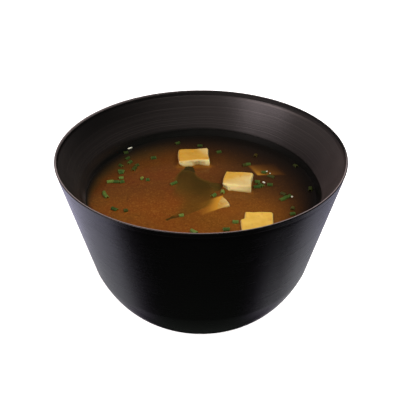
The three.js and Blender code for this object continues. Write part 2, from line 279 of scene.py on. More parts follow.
def turn_matrix(roll, tilt, turn):
    """Turns about X by roll, then about Y by minus tilt, then about Z by turn, in degrees."""
    a, b, c = np.radians((roll, -tilt, turn))
    about_x = np.array([[1, 0, 0], [0, np.cos(a), -np.sin(a)], [0, np.sin(a), np.cos(a)]])
    about_y = np.array([[np.cos(b), 0, np.sin(b)], [0, 1, 0], [-np.sin(b), 0, np.cos(b)]])
    about_z = np.array([[np.cos(c), -np.sin(c), 0], [np.sin(c), np.cos(c), 0], [0, 0, 1]])
    return about_z @ about_y @ about_x


# ---- meshes

def grid_faces(rows, columns, wrap=False):
    """Quads of a grid of points in rows and columns, the last column joined to the first if wrap."""
    row = np.arange(rows - 1)[:, None] * columns
    column = np.arange(columns if wrap else columns - 1)[None, :]
    right = (column + 1) % columns
    a, b = row + column, row + right
    return np.stack([a, b, b + columns, a + columns], -1).reshape(-1, 4)


def add_piece(name, points, faces, finish, values=None):
    """A smooth mesh of points in millimetres and a list of arrays of faces. values are named numbers
    for each point, which the finish reads."""
    mesh = bpy.data.meshes.new(name)
    corners = [face for group in faces for face in group.tolist()]
    mesh.from_pydata((points * MM).tolist(), [], corners, shade_flat=False)
    for key, numbers in (values or {}).items():
        attribute = mesh.attributes.new(key, "FLOAT", "POINT")
        attribute.data.foreach_set("value", np.asarray(numbers, np.float32).ravel())
    mesh.materials.append(finish)
    piece = bpy.data.objects.new(name, mesh)
    bpy.context.scene.collection.objects.link(piece)
    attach(piece, "root")
    return piece


def turned(profile, around):
    """A profile of (radius, height) that starts and ends on the axis, carried round it:
    x = radius cos(angle), y = radius sin(angle), z = height. Each end closes on one point."""
    angle = TURN * np.arange(around) / around
    radius, height = profile[1:-1].T
    ring = np.stack([np.outer(radius, np.cos(angle)), np.outer(radius, np.sin(angle))], -1)
    ring = np.concatenate([ring, np.repeat(height[:, None, None], around, 1)], -1)
    points = np.concatenate([[[0, 0, profile[0, 1]]], ring.reshape(-1, 3), [[0, 0, profile[-1, 1]]]])
    here = np.arange(around)
    after = (here + 1) % around
    last = len(points) - 1
    start_fan = np.stack([np.zeros(around, int), after + 1, here + 1], -1)
    base = last - around
    end_fan = np.stack([np.full(around, last), here + base, after + base], -1)
    return points, [grid_faces(len(radius), around, wrap=True) + 1, start_fan, end_fan]


# ---- bowl

def straight(start, end, count):
    """count points from start to end, the last left out."""
    share = np.linspace(0, 1, count, endpoint=False)[:, None]
    return np.array(start, float) * (1 - share) + np.array(end, float) * share


def arc(centre, radius, start, end, count):
    """count + 1 points of a circle's arc, between two angles in degrees."""
    angle = np.radians(np.linspace(start, end, count + 1))
    return np.stack([centre[0] + radius * np.cos(angle), centre[1] + radius * np.sin(angle)], -1)


def hollow_curve(count):
    """The hollow's side from its floor to the waterline."""
    corners = (
        (FLOOR_RADIUS, FLOOR_HEIGHT),
        (FLOOR_RADIUS + HOLLOW_PULL["out"], FLOOR_HEIGHT),
        (BROTH_RADIUS - HOLLOW_PULL["in"], LEVEL - HOLLOW_PULL["down"]),
        (BROTH_RADIUS, LEVEL),
    )
    return bezier(corners, np.linspace(0, 1, count))[0]


def inner_wall():
    """From the lip's foot down to the waterline: a straight line bowed in by a parabola."""
    line = straight((RIM_RADIUS - LIP_WALL, HEIGHT - LIP_HEIGHT), (BROTH_RADIUS, LEVEL), WALL_STEPS)
    share = np.linspace(0, 1, WALL_STEPS, endpoint=False)
    line[:, 0] -= WALL_FLARE * 4 * share * (1 - share)
    return line


def bowl_profile():
    """From the middle of the base up the outside, over the rounded lip and down the inside. part is 0
    outside, 1 on the lip and 2 inside."""
    underside = (
        (BASE_RADIUS, 0),
        (BASE_RADIUS + UNDERSIDE_PULL["out"], 0),
        (CREASE_RADIUS - UNDERSIDE_PULL["in"], CREASE_HEIGHT - UNDERSIDE_PULL["down"]),
        (CREASE_RADIUS, CREASE_HEIGHT),
    )
    shoulder = HEIGHT - LIP_HEIGHT
    top = HEIGHT - LIP_ROUND
    foot = RIM_RADIUS - LIP_LEAN
    inside = RIM_RADIUS - LIP_WALL
    edge = inside + LIP_CHAMFER
    outside = [
        straight((0, 0), (BASE_RADIUS, 0), 10),
        bezier(underside, np.linspace(0, 1, 48, endpoint=False))[0],
        straight((CREASE_RADIUS, CREASE_HEIGHT), (foot, shoulder - 0.2), 60),
        [(foot - LIP_GROOVE, shoulder)],
    ]
    lip = [
        straight((foot, shoulder + 0.2), (RIM_RADIUS, top), 8),
        arc((RIM_RADIUS - LIP_ROUND, top), LIP_ROUND, 0, 90, 6),
        arc((edge + LIP_ROUND, top), LIP_ROUND, 90, 165, 6),
        straight((edge, top - 0.1), (inside, shoulder), 8)[1:],
    ]
    hollow = [
        inner_wall(),
        hollow_curve(HOLLOW_STEPS)[::-1],
        straight((FLOOR_RADIUS, FLOOR_HEIGHT), (0, FLOOR_HEIGHT), 6)[1:],
        [(0, FLOOR_HEIGHT)],
    ]
    sides = [np.concatenate(side) for side in (outside, lip, hollow)]
    return np.concatenate(sides), np.repeat((0, 1, 2), [len(side) for side in sides])


def around_rings(numbers):
    """A number for each profile point, given to all the points that turned() makes of it."""
    return np.r_[numbers[0], np.repeat(numbers[1:-1], BOWL_AROUND), numbers[-1]]


def make_bowl():
    """The profile turned about the axis. turned_mm is the length along the profile, which the
    turning lines follow, hollow is 1 inside and lip is 1 where the lip is black. painted_sheen is the
    painted sheen and highlights of the hollow and edge the painted highlight on the lip's edge, in
    bell-shaped stretches round the bowl and up it, and painted_wall_shade is where shade is painted
    high on the hollow."""
    profile, part = bowl_profile()
    points, faces = turned(profile, BOWL_AROUND)
    run = np.r_[0, np.cumsum(np.hypot(*np.diff(profile, axis=0).T))]
    x, y, height = points.T
    bearing, radius = bearing_of(x, y), np.hypot(x, y)
    # painted sheen on the hollow, and painted highlights in two spots
    painted_sheen = sum(share * bell(bearing, at, spread) for at, spread, share in HOLLOW_SHEEN)
    for at, up, share in SHEEN_SPOTS:
        painted_sheen += share * bell(bearing, *at) * bell(height, *up)
    lip = around_rings((part == 1) * 1.0)
    outer = smoothstep(radius, RIM_RADIUS - LIP_ROUND - 0.3, RIM_RADIUS - LIP_ROUND)
    bare = 1 - bell(bearing, LIP_BLACK["at"], LIP_BLACK["spread"])
    least = np.where(bearing < LIP_BLACK["at"], LIP_BLACK["left"], LIP_BLACK["right"])
    black_from = HEIGHT - LIP_HEIGHT + (LIP_HEIGHT - least) * bare
    black_lip = lip * np.maximum(outer, smoothstep(height, black_from - LIP_BLACK_EDGE, black_from))
    # painted highlight on the lip's edge, on the far left and along the near side
    far_edge_highlight = LIP_EDGE_HIGHLIGHT["share"] * bell(bearing, *LIP_EDGE_HIGHLIGHT["at"])
    far_edge_highlight *= smoothstep(height, HEIGHT - 0.8, HEIGHT - 0.4)
    near_edge_highlight = smoothstep(-y, 0, 20) * (1 - outer) * smoothstep(height, HEIGHT - 0.35, HEIGHT - 0.15)
    values = {
        "turned_mm": around_rings(run),
        "hollow": np.maximum(around_rings((part == 2) * 1.0), lip - black_lip),
        "lip": black_lip,
        "painted_sheen": painted_sheen,
        # where shade is painted high on the hollow
        "painted_wall_shade": bell(bearing, *DARK_TOP_SHADE["at"]) * smoothstep(height, *DARK_TOP_SHADE["height"]),
        "edge": lip * np.maximum(far_edge_highlight, near_edge_highlight),
    }
    bowl = add_piece("lacquer_bowl", points, faces, lacquer(), values)
    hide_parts("bowl")


def wet_line(angle):
    """Height up to which the last tilt of the soup has left the inner wall wet, and up to which shade is
    painted on it. It is higher on one side and in a bell-shaped stretch, and slow waves make it uneven."""
    waves = sum(height * np.sin(count * angle + phase) for height, count, phase in WET_WAVES)
    bearing = bearing_of(np.cos(angle), np.sin(angle))
    run = FILM_RUN["higher"] * bell(bearing, FILM_RUN["at"], FILM_RUN["spread"])
    lean = WET_LINE["lean"] * np.cos(angle + WET_LINE["lean_from"])
    return LEVEL + WET_LINE["over"] - lean + waves + run


def make_wet_film_and_shade():
    """The thin film of broth left on the wall, painted darker than the lacquer as the shade on the wall
    above the broth: a strip from under the waterline to the wet line, just proud of the wall, and back
    behind it. It fades out over its last stretch, which is longer on the left, is thinner in a
    bell-shaped stretch round the bowl, and in another it has a painted brown reflection of the broth."""
    angle = TURN * np.arange(BOWL_AROUND) / BOWL_AROUND
    share = np.linspace(0, 1, FILM_STEPS)[:, None]
    wall = inner_wall()[::-1]
    low = LEVEL - FILM_UNDER
    height = low + (wet_line(angle) - low) * share
    radius = np.interp(height, wall[:, 1], wall[:, 0])
    front = radius - FILM_THICKNESS * np.sqrt(1 - share)
    rings = np.concatenate([front, radius[::-1] + FILM_BEHIND])
    level = np.concatenate([height, height[::-1]])
    points = np.stack([rings * np.cos(angle), rings * np.sin(angle), level], -1).reshape(-1, 3)
    count = 2 * FILM_STEPS * BOWL_AROUND
    faces = grid_faces(2 * FILM_STEPS + 1, BOWL_AROUND, wrap=True) % count
    bearing = bearing_of(np.cos(angle), np.sin(angle))
    left = 1 - FILM_THIN["by"] * bell(bearing, FILM_THIN["at"], FILM_THIN["spread"])
    to_right = smoothstep(np.cos(angle), -0.5, 0.6)
    fade = FILM_FADE["left"] + (FILM_FADE["right"] - FILM_FADE["left"]) * to_right
    share = smoothstep((wet_line(angle) - level) / fade, 0, 1) * left
    # painted reflection of the broth in the wall
    brown = bell(np.broadcast_to(bearing, level.shape), *FILM_BROTH_REFLECTION["at"])
    brown = brown * smoothstep(level - LEVEL, *FILM_BROTH_REFLECTION["over"])
    film = add_piece("wet_film_and_shade", points, [faces], wet_film_and_shade_finish(), {"film": share, "brown": brown})
    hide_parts("soup")


# ---- tofu

def block_lines(half, edge):
    """Grid lines across a block's side: equal angles on each rounded edge, equal steps between."""
    bend = edge * np.tan(np.linspace(0, math.pi / 4, TOFU_ROUND_STEPS + 1))
    flat = np.linspace(edge - half, half - edge, TOFU_STEPS - 2 * TOFU_ROUND_STEPS + 1)
    return np.concatenate([edge - half - bend[:0:-1], flat, half - edge + bend[1:]])


def block_lattice():
    """The outer points of a cube of steps, as whole numbers with no double, and its quads. Each of
    the six sides is a grid, and the grids share the points on the edges."""
    steps = np.arange(TOFU_STEPS + 1)
    first, second = (side.ravel() for side in np.meshgrid(steps, steps, indexing="ij"))
    quads = grid_faces(TOFU_STEPS + 1, TOFU_STEPS + 1)
    places, faces = [], []
    for axis in range(3):
        for end in (0, TOFU_STEPS):
            place = np.empty((len(first), 3), int)
            place[:, axis] = end
            place[:, (axis + 1) % 3] = first
            place[:, (axis + 2) % 3] = second
            faces.append((quads[:, ::-1] if end else quads) + len(places) * len(first))
            places.append(place)
    unique, number = np.unique(np.concatenate(places), axis=0, return_inverse=True)
    return unique, number.ravel()[np.concatenate(faces)]


def tofu_wave(a, b, phase):
    """A sine that runs across a face's two directions: depth sin(pitch (a + 0.7 b) + phase)."""
    return TOFU_WAVER["depth"] * np.sin(TOFU_WAVER["pitch"] * (a + 0.7 * b) + phase)


def torn_step(x, y, half):
    """How far a torn side steps in: nothing at the near end, the torn depth at the far end."""
    side = smoothstep(-x, 0, half[0])
    along = smoothstep(y, TORN["from"] - TORN["blend"], TORN["from"] + TORN["blend"])
    return TORN["depth"] * side * along


def block_stance(cube):
    """Where a cube's middle is, half its height under its top, and how it is turned."""
    middle = np.array((*cube["at"], LEVEL + cube["top"] - cube["size"][2] / 2))
    return middle, turn_matrix(cube["roll"], cube["tilt"], cube["turn"])


def tofu_cube(name, cube, film, finish):
    """A soft cut block. The distance from the block's core is rounded off at the edges, then each
    face wavers by a sine of its own two directions. A chip pushes the skin in by (1 - (distance /
    radius)^2)^2. Coarse and fine relief roughen the cut faces, and small pits are where a third is
    highest. film is the share of golden film at each point, warm how orange it is, and front how
    white the cut near side is, from its left to its right: its own pale cut colour with painted light
    from the front on it. Just over the broth the sides are soaked and orange."""
    lattice, faces = block_lattice()
    half = np.array(cube["size"]) / 2
    lines = np.stack([block_lines(h, TOFU_EDGE) for h in half])
    points = np.stack([lines[axis][lattice[:, axis]] for axis in range(3)], -1)
    core = np.clip(points, TOFU_EDGE - half, half - TOFU_EDGE)
    away = points - core
    away /= np.linalg.norm(away, axis=1, keepdims=True)
    points = core + TOFU_EDGE * away
    plain = points.copy()
    phase = cube["at"][0]
    x, y, z = plain.T
    points[:, 0] += tofu_wave(y, z, phase)
    points[:, 1] += tofu_wave(z, x, 2 * phase)
    points[:, 2] += tofu_wave(x, y, 3 * phase)
    if name == "tofu_front":
        points[:, 0] += torn_step(x, y, half)
    for spot, radius, push in CHIPS.get(name, ()):
        share = np.maximum(0, 1 - ((plain - spot) ** 2).sum(axis=1) / radius ** 2) ** 2
        points += share[:, None] * push
    seed = int(1000 + 10 * phase)
    rough = sum(depth * relief(plain, pitch, seed + n) for n, (pitch, depth) in enumerate(TOFU_RELIEF))
    pits = relief(plain, TOFU_PITS["pitch"], seed + len(TOFU_RELIEF))
    pits = smoothstep(pits, TOFU_PITS["from"], TOFU_PITS["to"])
    points += away * (rough - TOFU_PITS["depth"] * pits)[:, None]
    share = plain / half
    middle, turn = block_stance(cube)
    placed = points @ turn.T + middle
    soaked = 1 - smoothstep(placed[:, 2] - LEVEL, *TOFU_SOAKED["over"])
    # the near side is painted whiter: its cut colour and painted light from the front
    side = (1 - smoothstep(share[:, 2], 0.85, 1.0)) * smoothstep(-share[:, 1], 0.8, 0.98)
    values = {
        "film": np.maximum(film(share), TOFU_SOAKED["film"] * soaked), "pit": pits,
        "warm": np.maximum(cube["warm"], TOFU_SOAKED["warm"] * soaked),
        "front": side * (1 - TOFU_SOAKED["front"] * soaked) * np.interp(share[:, 0], (0, 1), cube["pale"]),
    }
    made = add_piece(name + "_cube", placed, [faces], finish, values)
    return made


def make_tofu():
    """The four cubes that show, each with its own film on its top, and the sunk one."""
    def on_top(p):
        """1 on the top face, of places p as shares of half the cube."""
        return smoothstep(p[:, 2], 0.86, 1.0)

    films = {
        "tofu_back": lambda p: on_top(p) * (1 - 0.6 * smoothstep(p[:, 0] + 0.5 * p[:, 1], 0.4, 1.2)),
        "tofu_right": lambda p: on_top(p) * (0.25 + 0.75 * smoothstep(p[:, 1] - p[:, 0], -0.9, 0.7)),
        "tofu_tilted": lambda p: on_top(p) * (1 - 0.45 * smoothstep(p[:, 0], 0.3, 0.95)),
        "tofu_front": on_top,
    }
    finish = tofu_finish()
    for name, cube in TOFU.items():
        made = tofu_cube(name, cube, films[name], finish)
        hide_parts(name)
    tofu_cube("tofu_sunk", TOFU_SUNK, lambda p: np.full(len(p), 0.6), finish)


# ---- wakame

def wakame_sheet(t, u):
    """The middle surface of the wakame. t runs from tip to tail and u from side to side, -1 to 1. The
    sheet's half width is a power of a sine with a frill, widened on one side by a bell-shaped lobe
    and half a sine wave. It hangs by a sine of t from its tip and from that side, and ripples."""
    middle, slope = bezier(WAKAME_PATH, t)
    along = slope / np.linalg.norm(slope, axis=-1, keepdims=True)
    lobe = bell(t, WAKAME_LOBE["at"], WAKAME_LOBE["spread"])
    body = WAKAME_HALF_WIDTH * np.sin(np.pi * np.minimum(1, t / 0.95)).clip(0) ** 1.1
    frill = 1 + WAKAME_FRILL["depth"] * np.sin(WAKAME_FRILL["along"] * TURN * t + 2 * u)
    lap = np.clip((t - WAKAME_SWELL["from"]) / (WAKAME_SWELL["to"] - WAKAME_SWELL["from"]), 0, 1)
    wider = WAKAME_LOBE["reach"] * lobe + WAKAME_SWELL["reach"] * np.sin(np.pi * lap)
    tip = bell(t, 0, 0.12)
    half = (WAKAME_EDGE_WIDTH + WAKAME_TIP_WIDTH * tip + body) * frill + wider * np.maximum(0, u)
    x = middle[..., 0] - u * half * along[..., 1]
    y = middle[..., 1] + u * half * along[..., 0]
    held = np.maximum(tip, lobe * smoothstep(u, 0.35, 0.95))
    wave = TURN * (WAKAME_RIPPLE["along"] * t + WAKAME_RIPPLE["across"] * u)
    ripple = WAKAME_RIPPLE["depth"] * np.sin(wave)
    depth = WAKAME_SAG * np.sin(np.pi * (0.1 + 0.85 * t)) * (0.65 - 0.43 * u)
    z = LEVEL + WAKAME_FLOAT * held - (1 - held) * (depth + ripple)
    return np.stack([x, y, z], -1), half


def make_wakame():
    """The middle surface pushed up and down by half its thickness, thinner at the rim, with small
    crimps that grow towards the rim, closed by a strip all round."""
    long, wide = WAKAME_STEPS
    t, u = np.meshgrid(np.linspace(0, 1, long + 1), np.linspace(-1, 1, wide + 1), indexing="ij")
    sheet, _ = wakame_sheet(t, u)
    crimp = np.sin(TURN * WAKAME_CRIMP["along"] * t + WAKAME_CRIMP["across"] * u)
    crimp = WAKAME_CRIMP["depth"] * np.abs(u) ** 2 * crimp
    grain = WAKAME_GRAIN["depth"] * relief(sheet * (1, 1, 0), WAKAME_GRAIN["pitch"], WAKAME_GRAIN["seed"])
    sheet[..., 2] += (crimp + grain) * smoothstep(t, 0, 0.08)
    half = WAKAME_THICKNESS / 2 * (1 - 0.55 * np.abs(u) ** 6)
    points = np.concatenate([(sheet + (0, 0, side) * half[..., None]).reshape(-1, 3) for side in (1, -1)])
    quads = grid_faces(long + 1, wide + 1)
    row = wide + 1
    layer = row * (long + 1)
    rim = np.concatenate([
        np.arange(wide),
        np.arange(long) * row + wide,
        long * row + wide - np.arange(wide),
        (long - np.arange(long)) * row,
    ])
    after = np.roll(rim, -1)
    strip = np.stack([rim, after, after + layer, rim + layer], -1)
    faces = [quads[:, ::-1], quads + layer, strip]
    values = {"leaf_along": np.tile(t.ravel(), 2), "leaf_side": np.tile(u.ravel(), 2)}
    leaf = add_piece("wakame_leaf", points, faces, wakame_finish(), values)
    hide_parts("wakame")


# ---- chives

def make_chives():
    """Each cut is a hollow tube: outer and inner wall on a grid of rings and sides, joined at both
    cut ends. The section is a little oval, the cut slants, and the tube bows by the square of the
    place along it. It is then turned about Y by its tip and about Z by its turn. lit is the
    broth_depth_and_shade where it lies, from which the broth's shade is painted on the cut, and dimmed
    how much it is dimmed to dark brown."""
    draw = np.random.default_rng(CHIVE_SEED)
    count = len(CHIVES)
    place = np.array([cut + (0,) * (6 - len(cut)) for cut in CHIVES], float)
    x, y, turn, length, tip, dimmed = place.T[:, :, None, None]
    turn, tip = np.radians(turn), np.radians(tip)
    share = np.linspace(-0.5, 0.5, CHIVE_RINGS)  # outer wall from end to end, then back along the bore
    along = np.concatenate([share, share[::-1]])[None, :, None]
    bore = np.repeat((0, 1), CHIVE_RINGS)[None, :, None]
    angle = TURN * np.arange(CHIVE_SIDES) / CHIVE_SIDES

    def drawn(low, high):
        """One number for each cut."""
        return draw.uniform(low, high, (count, 1, 1))

    oval, spin, slant, bow = drawn(*CHIVE_OVAL), drawn(0, TURN), drawn(*CHIVE_SLANT), drawn(*CHIVE_BOW)
    size, bore_radius = drawn(*CHIVE_SIZE), CHIVE_BORE * drawn(*CHIVE_BORE_SIZE)
    wrinkle = 1 + CHIVE_WRINKLE["depth"] * np.sin(CHIVE_WRINKLE["count"] * angle + spin)
    radius = np.where(bore == 0, CHIVE_RADIUS * size * wrinkle, bore_radius)
    radius = radius + np.where(np.abs(along) > 0.49, CHIVE_ROUNDING, 0) * np.where(bore == 0, -1, 1)
    up = radius * np.sin(angle + spin) * oval
    across = radius * np.cos(angle + spin) + bow * length * (4 * along ** 2 - 0.5)
    lengthwise = along * length + slant * up * np.sign(along)
    out = lengthwise * np.cos(tip) - up * np.sin(tip)
    up = lengthwise * np.sin(tip) + up * np.cos(tip)
    points = np.stack([
        x + out * np.cos(turn) - across * np.sin(turn),
        y + out * np.sin(turn) + across * np.cos(turn),
        LEVEL + CHIVE_LIFT + up,
    ], -1).reshape(-1, 3)
    loop = 2 * CHIVE_RINGS
    tube = grid_faces(loop + 1, CHIVE_SIDES, wrap=True) % (loop * CHIVE_SIDES)
    faces = (tube[None, :, ::-1] + np.arange(count)[:, None, None] * loop * CHIVE_SIDES).reshape(-1, 4)
    values = {
        "tint": drawn(0, 1), "cut_end": smoothstep((0.5 - np.abs(along)) * length, 0.5, 0.0), "bore": bore,
        # lit: the broth's painted shade, carried onto the chives
        "lit": broth_depth_and_shade(x, y), "dimmed": dimmed,
    }
    values = {key: np.broadcast_to(value, (count, loop, CHIVE_SIDES)) for key, value in values.items()}
    cuts = add_piece("chive_cuts", points, [faces], chive_finish(), values)
    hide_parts("soup")


# ---- broth

def block_top(cube, x, y):
    """Height of the plane of a cube's top face at each point (x, y), and how steeply it rises with x
    and with y."""
    middle, turn = block_stance(cube)
    top = middle + turn[:, 2] * cube["size"][2] / 2
    rise = -turn[:2, 2] / turn[2, 2]
    return top[2] + rise[0] * (x - top[0]) + rise[1] * (y - top[1]), rise


def block_place(cube, x, y, height):
    """Places of points in a cube's own directions, from its middle."""
    middle, turn = block_stance(cube)
    local = (np.stack([x, y, height], -1) - middle) @ turn
    return local[..., 0], local[..., 1]


def distance_outside(across, along, cube):
    """Distance of a point from the cube's outline, negative inside."""
    dx = np.abs(across) - cube["size"][0] / 2
    dy = np.abs(along) - cube["size"][1] / 2
    return np.hypot(np.maximum(dx, 0), np.maximum(dy, 0)) + np.minimum(np.maximum(dx, dy), 0)


def tofu_seen(cube, x, y):
    """How much of a sunk top face shows at each point (x, y) of the surface. A look goes down until
    it meets the face's plane, at depth (surface - plane) / (1 + slant * the plane's rise with y),
    and slants to the far side on its way. What it meets shows as exp(-depth / murk)."""
    height, rise = block_top(cube, x, y)
    depth = np.maximum(LEVEL - height, 0) / (1 + SLANT * rise[1])
    met = y + SLANT * depth
    across, along = block_place(cube, x, met, block_top(cube, x, met)[0])
    within = smoothstep(-distance_outside(across, along, cube), -0.4 - 0.45 * depth, 0.5 + 0.2 * depth)
    return within * np.exp(-depth / MURK)


def wakame_at(x, y):
    """Place along the wakame's path, from side to side and past its ends, of each point (x, y). The
    nearest of many places along the path gives t. u is the distance to its side over the half width
    there, which itself depends on u, so it is worked out in a few rounds. At the tail the half
    width is taken a little larger."""
    t = np.linspace(0, 1, 200)
    middle, slope = bezier(WAKAME_PATH, t)
    nearest = np.argmin((x[:, None] - middle[:, 0]) ** 2 + (y[:, None] - middle[:, 1]) ** 2, axis=1)
    along = slope[nearest] / np.linalg.norm(slope[nearest], axis=1, keepdims=True)
    side = (y - middle[nearest, 1]) * along[:, 0] - (x - middle[nearest, 0]) * along[:, 1]
    ahead = (x - middle[nearest, 0]) * along[:, 0] + (y - middle[nearest, 1]) * along[:, 1]
    u = np.sign(side) * 0.5
    for _ in range(6):
        _, half = wakame_sheet(t[nearest], np.clip(u, -1.3, 1.3))
        u = 0.5 * u + 0.5 * side / half
    wider = WAKAME_WIDER["tail"] * smoothstep(t[nearest], 0.8, 0.9)
    return t[nearest], u * half / (half + wider), ahead


def wakame_seen(x, y):
    """How much of the wakame shows at each point (x, y) of the surface, where a look slants on to the
    far side until it meets the sheet. Its tint is widened in a bell-shaped stretch on each side. It
    shows most at its tip, at the side that floats, along its rim and at its tail, and is lost in
    the broth towards its low side, where its edge is softest. Round its tail it tints the broth by
    a bell of the distance."""
    depth = np.zeros(len(x))
    for _ in range(3):
        t, u, ahead = wakame_at(x, y + SLANT * depth)
        sheet, _ = wakame_sheet(t, np.clip(u, -1, 1))
        depth = np.maximum(LEVEL - sheet[:, 2] - WAKAME_THICKNESS / 2, 0)
    wider = WAKAME_WIDER["right"] * bell(t, 0.62, 0.16) * (u > 0)
    wider += WAKAME_WIDER["left"] * bell(t, 0.1, 0.1) * (u < 0)
    u = u / (1 + wider)
    before_tail = 1 - smoothstep(t, *WAKAME_TAIL)
    past_tip = smoothstep(t, 0.03, 0.2) * before_tail
    middle = smoothstep(t, 0.3, 0.6) * before_tail
    low_side = smoothstep(t, 0.15, 0.35) * smoothstep(-u, -0.4, 0.8)
    high_side = smoothstep(u, 0.1, 0.5) * (1 - smoothstep(t, 0.45, 0.6))
    lost = WAKAME_LOST["sheet"] + WAKAME_LOST["low"] * low_side - WAKAME_LOST["high"] * high_side
    lost = past_tip * lost
    lost += middle * (WAKAME_LOST["middle"] + WAKAME_LOST["middle_low"] * smoothstep(-u, -0.4, 0.9))
    rim = WAKAME_RIM["share"] * middle * bell(u, WAKAME_RIM["at"], WAKAME_RIM["spread"])
    soft = WAKAME_SOFT["from"] - WAKAME_SOFT["low"] * smoothstep(-u, -0.2, 1.0) * smoothstep(t, 0.2, 0.5)
    soft += WAKAME_SOFT["high"] * smoothstep(u, 0.1, 0.6) * smoothstep(t, 0.4, 0.6)
    there = (1 - smoothstep(np.abs(u), soft, WAKAME_SOFT["to"])) * (1 - smoothstep(np.abs(ahead), 0.2, 0.9))
    (haze_x, haze_y), (spread_x, spread_y) = WAKAME_HAZE["at"], WAKAME_HAZE["spread"]
    haze = np.hypot((x - haze_x) / spread_x, (y - haze_y) / spread_y)
    return np.maximum(there * (1 - lost + rim), WAKAME_HAZE["share"] * bell(haze, 0, 1))


def chive_distance(x, y):
    """Distance from each point (x, y) to the nearest chive's side: the distance to the line
    through its middle, cut to its length, less its radius."""
    place = np.array([cut[:4] for cut in CHIVES])
    turn = np.radians(place[:, 2])
    dx, dy = x[:, None] - place[:, 0], y[:, None] - place[:, 1]
    along = dx * np.cos(turn) + dy * np.sin(turn)
    across = -dx * np.sin(turn) + dy * np.cos(turn)
    over = np.maximum(np.abs(along) - place[:, 3] / 2 + CHIVE_RADIUS, 0)
    return (np.hypot(over, across) - CHIVE_RADIUS).min(axis=1)


def broth_profile():
    """From the middle of the surface out to the wall, with closer rings there, then down just inside
    the wall to the middle of the floor."""
    share = np.linspace(0, 1, BROTH_RINGS)
    edge = BROTH_RADIUS + INTO_WALL
    rings = edge * (share * 1.18 - 0.18 * share ** 4)
    below = hollow_curve(24)[::-1][1:] + (INTO_WALL, 0)
    surface = np.stack([rings, np.full(BROTH_RINGS, LEVEL)], -1)
    return np.concatenate([surface, below - (0, 0.2), [(0, FLOOR_HEIGHT - 0.2)]])


def broth_depth_and_shade(x, y):
    """How full the broth's colour is at each point (x, y), with the wall's shade painted into it: 0 at
    the wall, rising as 1 - exp(-(distance from the wall / reach)^fall). The broth is dark where it is
    shallow over the black wall, and the painted shade reaches long on the far right side and short on
    the near left, with a little more in a bell-shaped stretch at the left. The far half of the bowl is
    painted dimmer, most on its right, and two round pools of painted light make it brighter again."""
    from_wall = np.maximum(BROTH_RADIUS - np.hypot(x, y), 0)
    bearing = bearing_of(x, y)
    reach = SHADE_REACH["mean"] + SHADE_REACH["swing"] * np.cos(np.radians(bearing - SHADE_FROM))
    reach = np.maximum(reach, 0)
    reach += SHADE_LEFT["more"] * bell(bearing, SHADE_LEFT["at"], SHADE_LEFT["spread"])
    # painted shade of the wall, laid over the dark shallow edge
    shallow_and_shade = 1 - np.exp(-(from_wall / np.hypot(reach, SHADE_REACH["least"])) ** SHADE_FALL)
    # painted shade over the far half
    shallow_and_shade *= 1 - FAR_DIM["share"] * smoothstep(y, FAR_DIM["from"], FAR_DIM["to"])
    # painted light on the far left and painted shade on the far right
    far = smoothstep(y, FAR_LEFT["from"], FAR_LEFT["to"])
    shallow_and_shade *= 1 + FAR_LEFT["more"] * np.clip(-x / 20, -1.2, 1) * far
    # painted pools of light
    for (middle_x, middle_y), spread, share in LIT_PATCHES:
        shallow_and_shade *= 1 + share * bell(np.hypot(x - middle_x, y - middle_y), 0, spread)
    return shallow_and_shade


def make_broth():
    """The body of broth. Its surface climbs by a falling exponential of the distance to the wall, to
    each tofu cube that stands out of it and to each chive. full is the broth_depth_and_shade: the
    broth's depth with the wall's shade and pools of light painted into it. glow is how much of the tofu
    shows in it, leaf how much of the wakame. settled is 1 on the side where the paste has settled and
    the broth is less red, and shore is 1 on the side where its shallow edge is olive."""
    points, faces = turned(broth_profile(), BROTH_AROUND)
    surface = np.arange(len(points)) < 1 + (BROTH_RINGS - 1) * BROTH_AROUND
    x, y = points[:, 0], points[:, 1]
    from_wall = BROTH_RADIUS - np.hypot(x, y)
    lift = WALL_RISE["height"] * np.exp(-np.maximum(from_wall, -INTO_WALL) / WALL_RISE["length"])
    glow = tofu_seen(TOFU_SUNK, x, y)
    for name, cube in TOFU.items():
        height, _ = block_top(cube, x, y)
        across, along = block_place(cube, x, y, height)
        outside = np.maximum(distance_outside(across, along, cube), 0)
        stands = smoothstep(height - LEVEL, 0, 0.8)
        lift += TOFU_RISE["height"] * np.exp(-outside / TOFU_RISE["length"]) * stands
        in_front = smoothstep(-along / cube["size"][1], 0.2, 0.5)
        skirt = bell(outside, 0, SKIRT["least"] + SKIRT["reach"] * in_front) * SKIRT.get(name, 0)
        glow = np.maximum(glow, np.maximum(skirt, tofu_seen(cube, x, y) * (1 - stands)))
    lift += CHIVE_RISE["height"] * np.exp(-np.maximum(chive_distance(x, y), 0) / CHIVE_RISE["length"])
    points[:, 2] += lift * surface
    values = {
        # the broth's depth with painted shade and painted light
        "full": broth_depth_and_shade(x, y),
        "glow": glow * surface,
        "settled": smoothstep(x, 0, 26),
        "shore": smoothstep(-x / BROTH_RADIUS, SHORE["from"], SHORE["to"]),
        "leaf": wakame_seen(x, y) * surface,
    }
    broth = add_piece("broth", points, faces, broth_finish(), values)
    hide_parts("soup")


def make_glint_crumbs():
    """Pale crumbs that lie on the chives and paint the glints of light on them: balls pressed flat, with
    their skin moved by relief.
    """
    rings, around = 13, 20
    angle = np.linspace(0, math.pi, rings)
    profile = np.stack([np.sin(angle), -np.cos(angle)], -1)
    ball, ball_faces = turned(profile, around)
    points, faces = [], []
    for number, (x, y, height, turn, size) in enumerate(GLINT_CRUMBS):
        skin = relief(ball + 10 * number, GLINT_CRUMB_RELIEF["pitch"], GLINT_CRUMB_RELIEF["seed"])
        skin = ball * (1 + GLINT_CRUMB_RELIEF["depth"] * skin[:, None])
        place = (x, y, LEVEL + height)
        faces += [group + len(ball) * number for group in ball_faces]
        points.append((skin * size) @ turn_matrix(0, 0, turn).T + place)
    crumbs = add_piece("glint_crumbs", np.concatenate(points), faces, glint_crumb_finish())
    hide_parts("soup")


# ---- finishes

